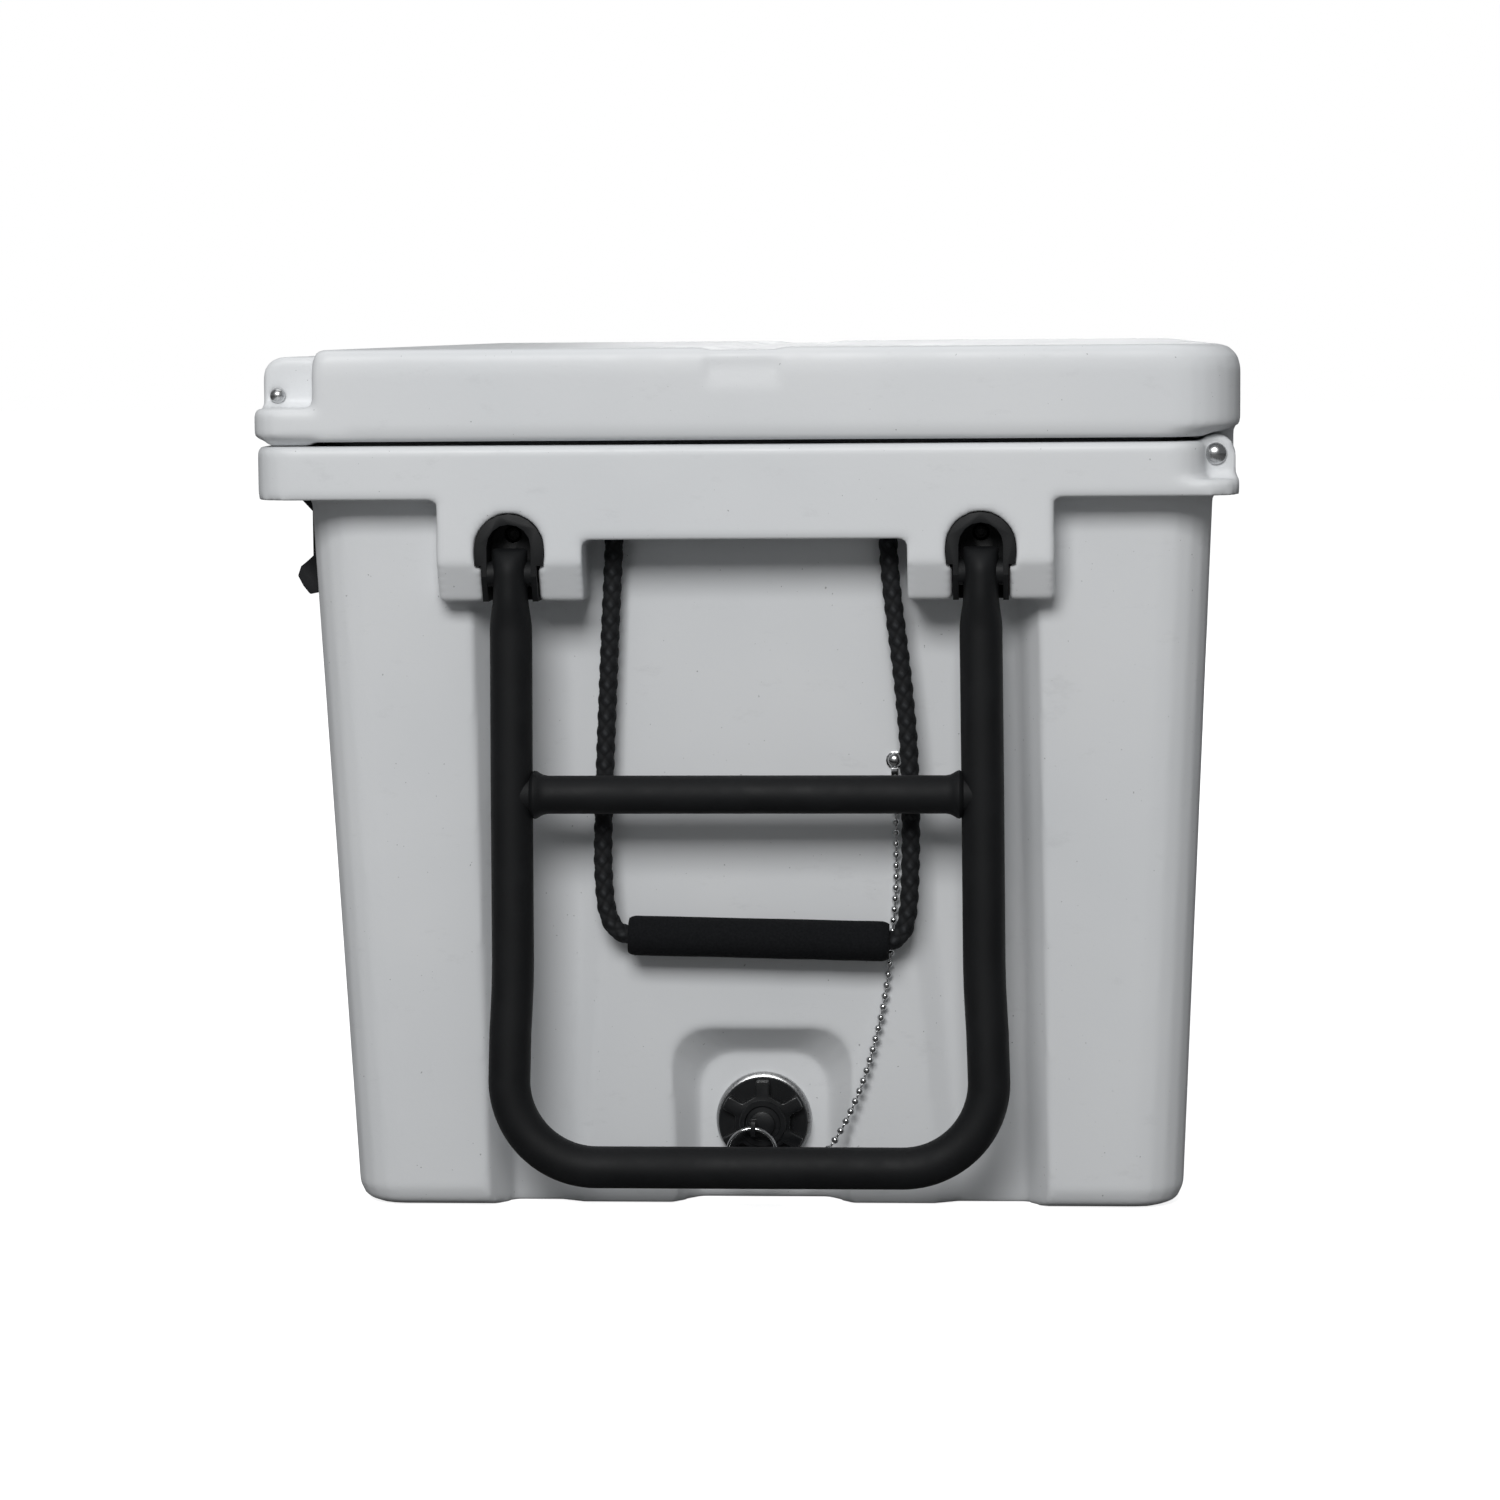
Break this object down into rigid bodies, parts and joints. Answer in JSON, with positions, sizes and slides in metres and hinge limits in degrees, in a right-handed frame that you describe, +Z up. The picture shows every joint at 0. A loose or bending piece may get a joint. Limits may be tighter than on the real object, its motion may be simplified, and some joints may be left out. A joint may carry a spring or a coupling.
{
  "type": "cooler chest",
  "caption": "Towable moulded cooler chest with a hinged lid, rubber latches, a tubular tow handle, rope side handles, corner wheels and a drain plug on a ball chain.",
  "frame": {"origin": "on the ground under the middle of the chest's outline", "axes": "+Z up; +Y along the chest, from the tow handle end to the wheel end; +X from the latch side to the hinge side"},
  "size_m": [0.462, 0.7068, 0.412],
  "materials": {
    "shell_plastic": "white rotomoulded polyethylene, satin, slightly wavy",
    "insulation_foam": "rigid polyurethane foam, cream",
    "seal_rubber": "black, matte",
    "latch_rubber": "black moulded rubber, satin",
    "pin_steel": "stainless steel, turned and polished heads",
    "handle_paint": "black powder coat, satin",
    "insert_plastic": "black moulded nylon, fine grained",
    "rope_braid": "black braided polyester with light flecks",
    "grip_foam": "black closed cell foam, matte",
    "drain_plastic": "black moulded plastic, half gloss",
    "drain_metal": "stainless steel",
    "chain_metal": "nickel plated ball chain",
    "tyre_rubber": "black solid rubber",
    "hub_plastic": "dark grey moulded plastic"
  },
  "bodies": {
    "root": {"base_shell": "shell_plastic", "base_foam_core": "insulation_foam", "base_fill_plug_near": "shell_plastic", "base_fill_plug_far": "shell_plastic", "hinge_pin_near": "pin_steel", "hinge_pin_middle": "pin_steel", "hinge_pin_far": "pin_steel", "pivot_insert_front": "insert_plastic", "pivot_insert_back": "insert_plastic", "pivot_pin_front": "pin_steel", "pivot_pin_back": "pin_steel", "insert_screw_front": "pin_steel", "insert_screw_back": "pin_steel", "rope_knot_near_front": "rope_braid", "rope_knot_near_back": "rope_braid", "rope_knot_far_front": "rope_braid", "rope_knot_far_back": "rope_braid", "drain_fitting": "drain_metal", "drain_nut": "drain_plastic", "drain_chain": "chain_metal", "chain_clip": "chain_metal", "chain_screw": "pin_steel", "axle_washer_front": "pin_steel", "axle_washer_back": "pin_steel", "axle_bolt_front": "pin_steel", "axle_bolt_back": "pin_steel"},
    "lid": {"lid_shell": "shell_plastic", "lid_foam_core": "insulation_foam", "lid_fill_plug": "shell_plastic", "lid_gasket": "seal_rubber", "latch_pin_near": "pin_steel", "latch_pin_far": "pin_steel"},
    "latch_near": {"latch_near": "latch_rubber"},
    "latch_far": {"latch_far": "latch_rubber"},
    "tow_handle": {"tow_handle_tube": "handle_paint", "tow_handle_crossbar": "handle_paint"},
    "rope_handle_near": {"rope_near": "rope_braid", "rope_grip_near": "grip_foam"},
    "rope_handle_far": {"rope_far": "rope_braid", "rope_grip_far": "grip_foam"},
    "drain_slide": {"drain_swivel": "drain_plastic", "split_ring": "chain_metal"},
    "drain_plug": {"drain_plug": "drain_plastic", "drain_seal": "seal_rubber"},
    "wheel_front": {"wheel_tyre_front": "tyre_rubber", "wheel_hub_front": "hub_plastic"},
    "wheel_back": {"wheel_tyre_back": "tyre_rubber", "wheel_hub_back": "hub_plastic"}
  },
  "joints": [
    {"name": "lid_hinge", "type": "hinge", "parent": "root", "child": "lid", "pos_m": [0.219, 0.00337, 0.361], "axis": [0, 1, 0], "range_deg": [0, 94]},
    {"name": "latch_near_hinge", "type": "hinge", "parent": "lid", "child": "latch_near", "pos_m": [-0.222, -0.25863, 0.3905], "axis": [0, 1, 0], "range_deg": [0, 110]},
    {"name": "latch_far_hinge", "type": "hinge", "parent": "lid", "child": "latch_far", "pos_m": [-0.222, 0.26537, 0.3905], "axis": [0, 1, 0], "range_deg": [0, 110]},
    {"name": "tow_handle_swing", "type": "hinge", "parent": "root", "child": "tow_handle", "pos_m": [0, -0.34063, 0.307], "axis": [-1, 0, 0], "range_deg": [0, 115]},
    {"name": "near_rope_swing", "type": "hinge", "parent": "root", "child": "rope_handle_near", "pos_m": [0, -0.31663, 0.3181], "axis": [-1, 0, 0], "range_deg": [0, 4.5]},
    {"name": "far_rope_swing", "type": "hinge", "parent": "root", "child": "rope_handle_far", "pos_m": [0, 0.32337, 0.3181], "axis": [1, 0, 0], "range_deg": [0, 88]},
    {"name": "drain_pull", "type": "slide", "parent": "root", "child": "drain_slide", "axis": [0, -1, 0], "range_m": [0, 0.012]},
    {"name": "drain_turn", "type": "hinge", "parent": "drain_slide", "child": "drain_plug", "pos_m": [0.0038, -0.28763, 0.0387], "axis": [0, -1, 0], "range_deg": [0, 1440]},
    {"name": "wheel_front_spin", "type": "hinge", "parent": "root", "child": "wheel_front", "pos_m": [-0.169, 0.26737, 0.073], "axis": [1, 0, 0], "continuous": true},
    {"name": "wheel_back_spin", "type": "hinge", "parent": "root", "child": "wheel_back", "pos_m": [0.181, 0.26737, 0.073], "axis": [1, 0, 0], "continuous": true}
  ],
  "couplings": [
    {"joint": "drain_pull", "follows": "drain_turn", "m_per_rad": 0.00047746}
  ]
}
